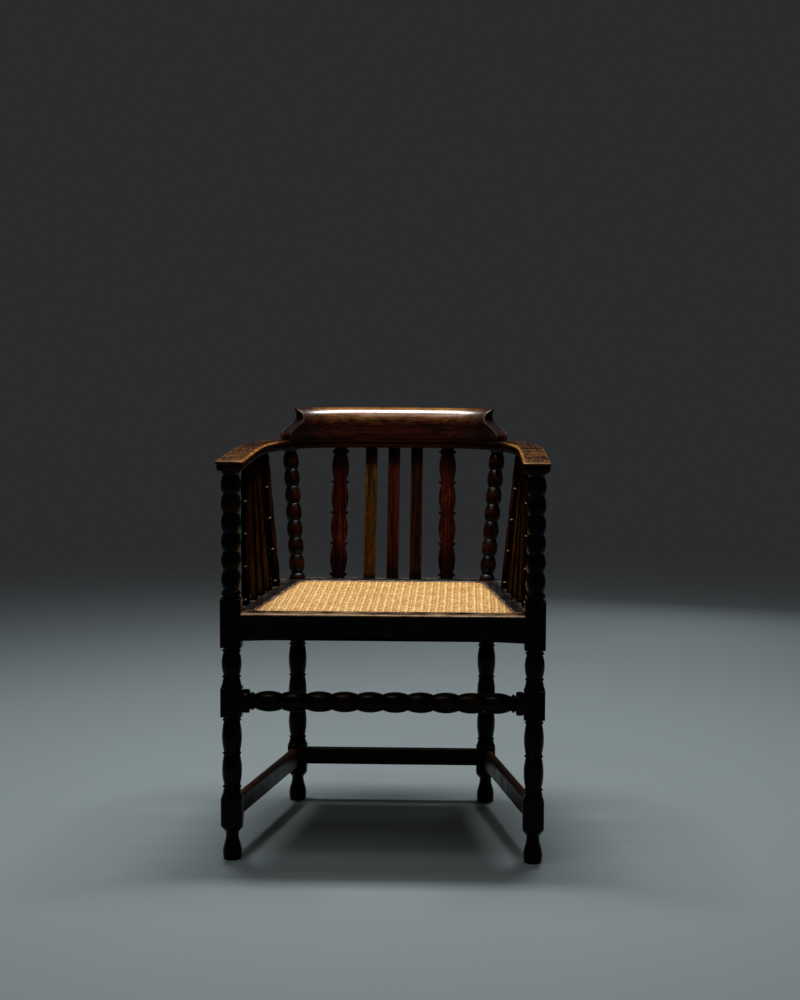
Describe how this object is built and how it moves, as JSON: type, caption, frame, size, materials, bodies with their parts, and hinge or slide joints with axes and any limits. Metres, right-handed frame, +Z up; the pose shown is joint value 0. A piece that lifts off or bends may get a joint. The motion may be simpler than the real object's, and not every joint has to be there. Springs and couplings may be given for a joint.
{
  "type": "captains chair",
  "caption": "Low-backed oak armchair with a curved arm bow, crest rail, slats and fretted splats, bobbin-turned legs, stretchers and a close-caned seat.",
  "frame": {"origin": "middle of the chair's plan, on the floor under the feet", "axes": "+X to the right as seen from the front, +Y from the front to the back, +Z up"},
  "size_m": [0.578, 0.594, 0.768],
  "materials": {
    "oak_dark": "polished, nearly black oak",
    "oak_brown": "polished dark brown oak",
    "oak_worn": "brown oak, polish worn golden",
    "cane": "close-woven golden cane",
    "beech": "bare beech",
    "steel": "dull dark steel"
  },
  "bodies": {
    "root": {"front_leg_left": "oak_dark", "front_leg_right": "oak_dark", "rear_leg_left": "oak_dark", "rear_leg_right": "oak_dark", "seat_rail_front": "oak_dark", "seat_rail_back": "oak_brown", "seat_rail_left": "oak_brown", "seat_rail_right": "oak_brown", "corner_blocks": "beech", "cane_seat": "cane", "front_stretcher": "oak_dark", "side_stretcher_left": "oak_brown", "side_stretcher_right": "oak_brown", "rear_stretcher": "oak_brown", "rear_post_left": "oak_dark", "rear_post_right": "oak_dark", "side_splat_left_front": "oak_brown", "side_splat_left_rear": "oak_brown", "side_splat_right_front": "oak_brown", "side_splat_right_rear": "oak_brown", "side_slat_left_1": "oak_worn", "side_slat_left_2": "oak_worn", "side_slat_left_3": "oak_worn", "side_slat_right_1": "oak_worn", "side_slat_right_2": "oak_worn", "side_slat_right_3": "oak_worn", "back_splat_left": "oak_brown", "back_splat_right": "oak_brown", "back_slat_left": "oak_worn", "back_slat_centre": "oak_worn", "back_slat_right": "oak_worn", "arm_left": "oak_worn", "arm_right": "oak_worn", "back_rail": "oak_worn", "bow_dowels": "beech", "crest_rail": "oak_brown", "crest_screws": "steel"}
  },
  "joints": []
}
